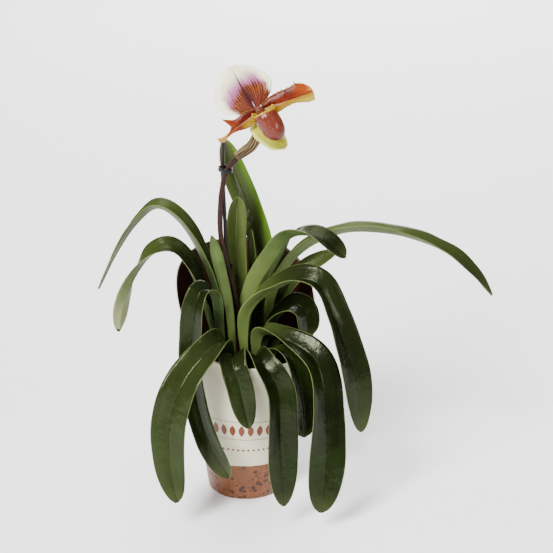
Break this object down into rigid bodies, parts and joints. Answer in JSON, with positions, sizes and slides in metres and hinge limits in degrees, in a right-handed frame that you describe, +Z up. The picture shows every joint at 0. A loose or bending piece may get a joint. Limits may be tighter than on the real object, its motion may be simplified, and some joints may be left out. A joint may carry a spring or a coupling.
{
  "type": "potted slipper orchid",
  "caption": "Slipper orchid with arching strap leaves and a single flower on a staked stalk, in a grow pot inside a flared card sleeve with a slanting rim.",
  "frame": {"origin": "on the floor, at the middle of the sleeve's round base", "axes": "+X to the right, +Y to the back, +Z up; the flower and the sleeve's low rim face -Y"},
  "size_m": [0.4027, 0.1852, 0.4542],
  "materials": {
    "printed_card": "coated card, matt",
    "pot_plastic": "matt",
    "bark": "rough",
    "leaf": "waxy, softly glossy",
    "stem": "finely haired, satin",
    "stake_plastic": "satin",
    "clip_plastic": "satin",
    "bract_green": "papery, matt",
    "dorsal_cream": "satin",
    "sepal_lime": "satin",
    "petal_red_brown": "glossy",
    "pouch_red_brown": "glossy",
    "column_ochre": "satin"
  },
  "bodies": {
    "root": {"sleeve": "printed_card", "grow_pot": "pot_plastic", "bark_mix": "bark", "crown": "stem", "scape": "stem", "ovary": "stem", "stake": "stake_plastic", "clip_upper": "clip_plastic", "clip_lower": "clip_plastic", "bract": "bract_green", "dorsal_sepal": "dorsal_cream", "synsepal": "sepal_lime", "petal_right": "petal_red_brown", "petal_left": "petal_red_brown", "pouch": "pouch_red_brown", "column": "column_ochre", "leaf_left_long": "leaf", "leaf_left_twisted": "leaf", "leaf_left_hanging": "leaf", "leaf_front_left": "leaf", "leaf_front_short": "leaf", "leaf_front_right": "leaf", "leaf_right_broad": "leaf", "leaf_right_inner": "leaf", "leaf_right_tall_arch": "leaf", "leaf_right_light_arch": "leaf", "leaf_right_longest": "leaf", "leaf_right_back": "leaf", "leaf_right_glossy": "leaf", "leaf_right_under": "leaf", "leaf_narrow_upright": "leaf", "leaf_behind_stalk": "leaf", "leaf_back_tall": "leaf", "leaf_front_upright": "leaf"}
  },
  "joints": []
}
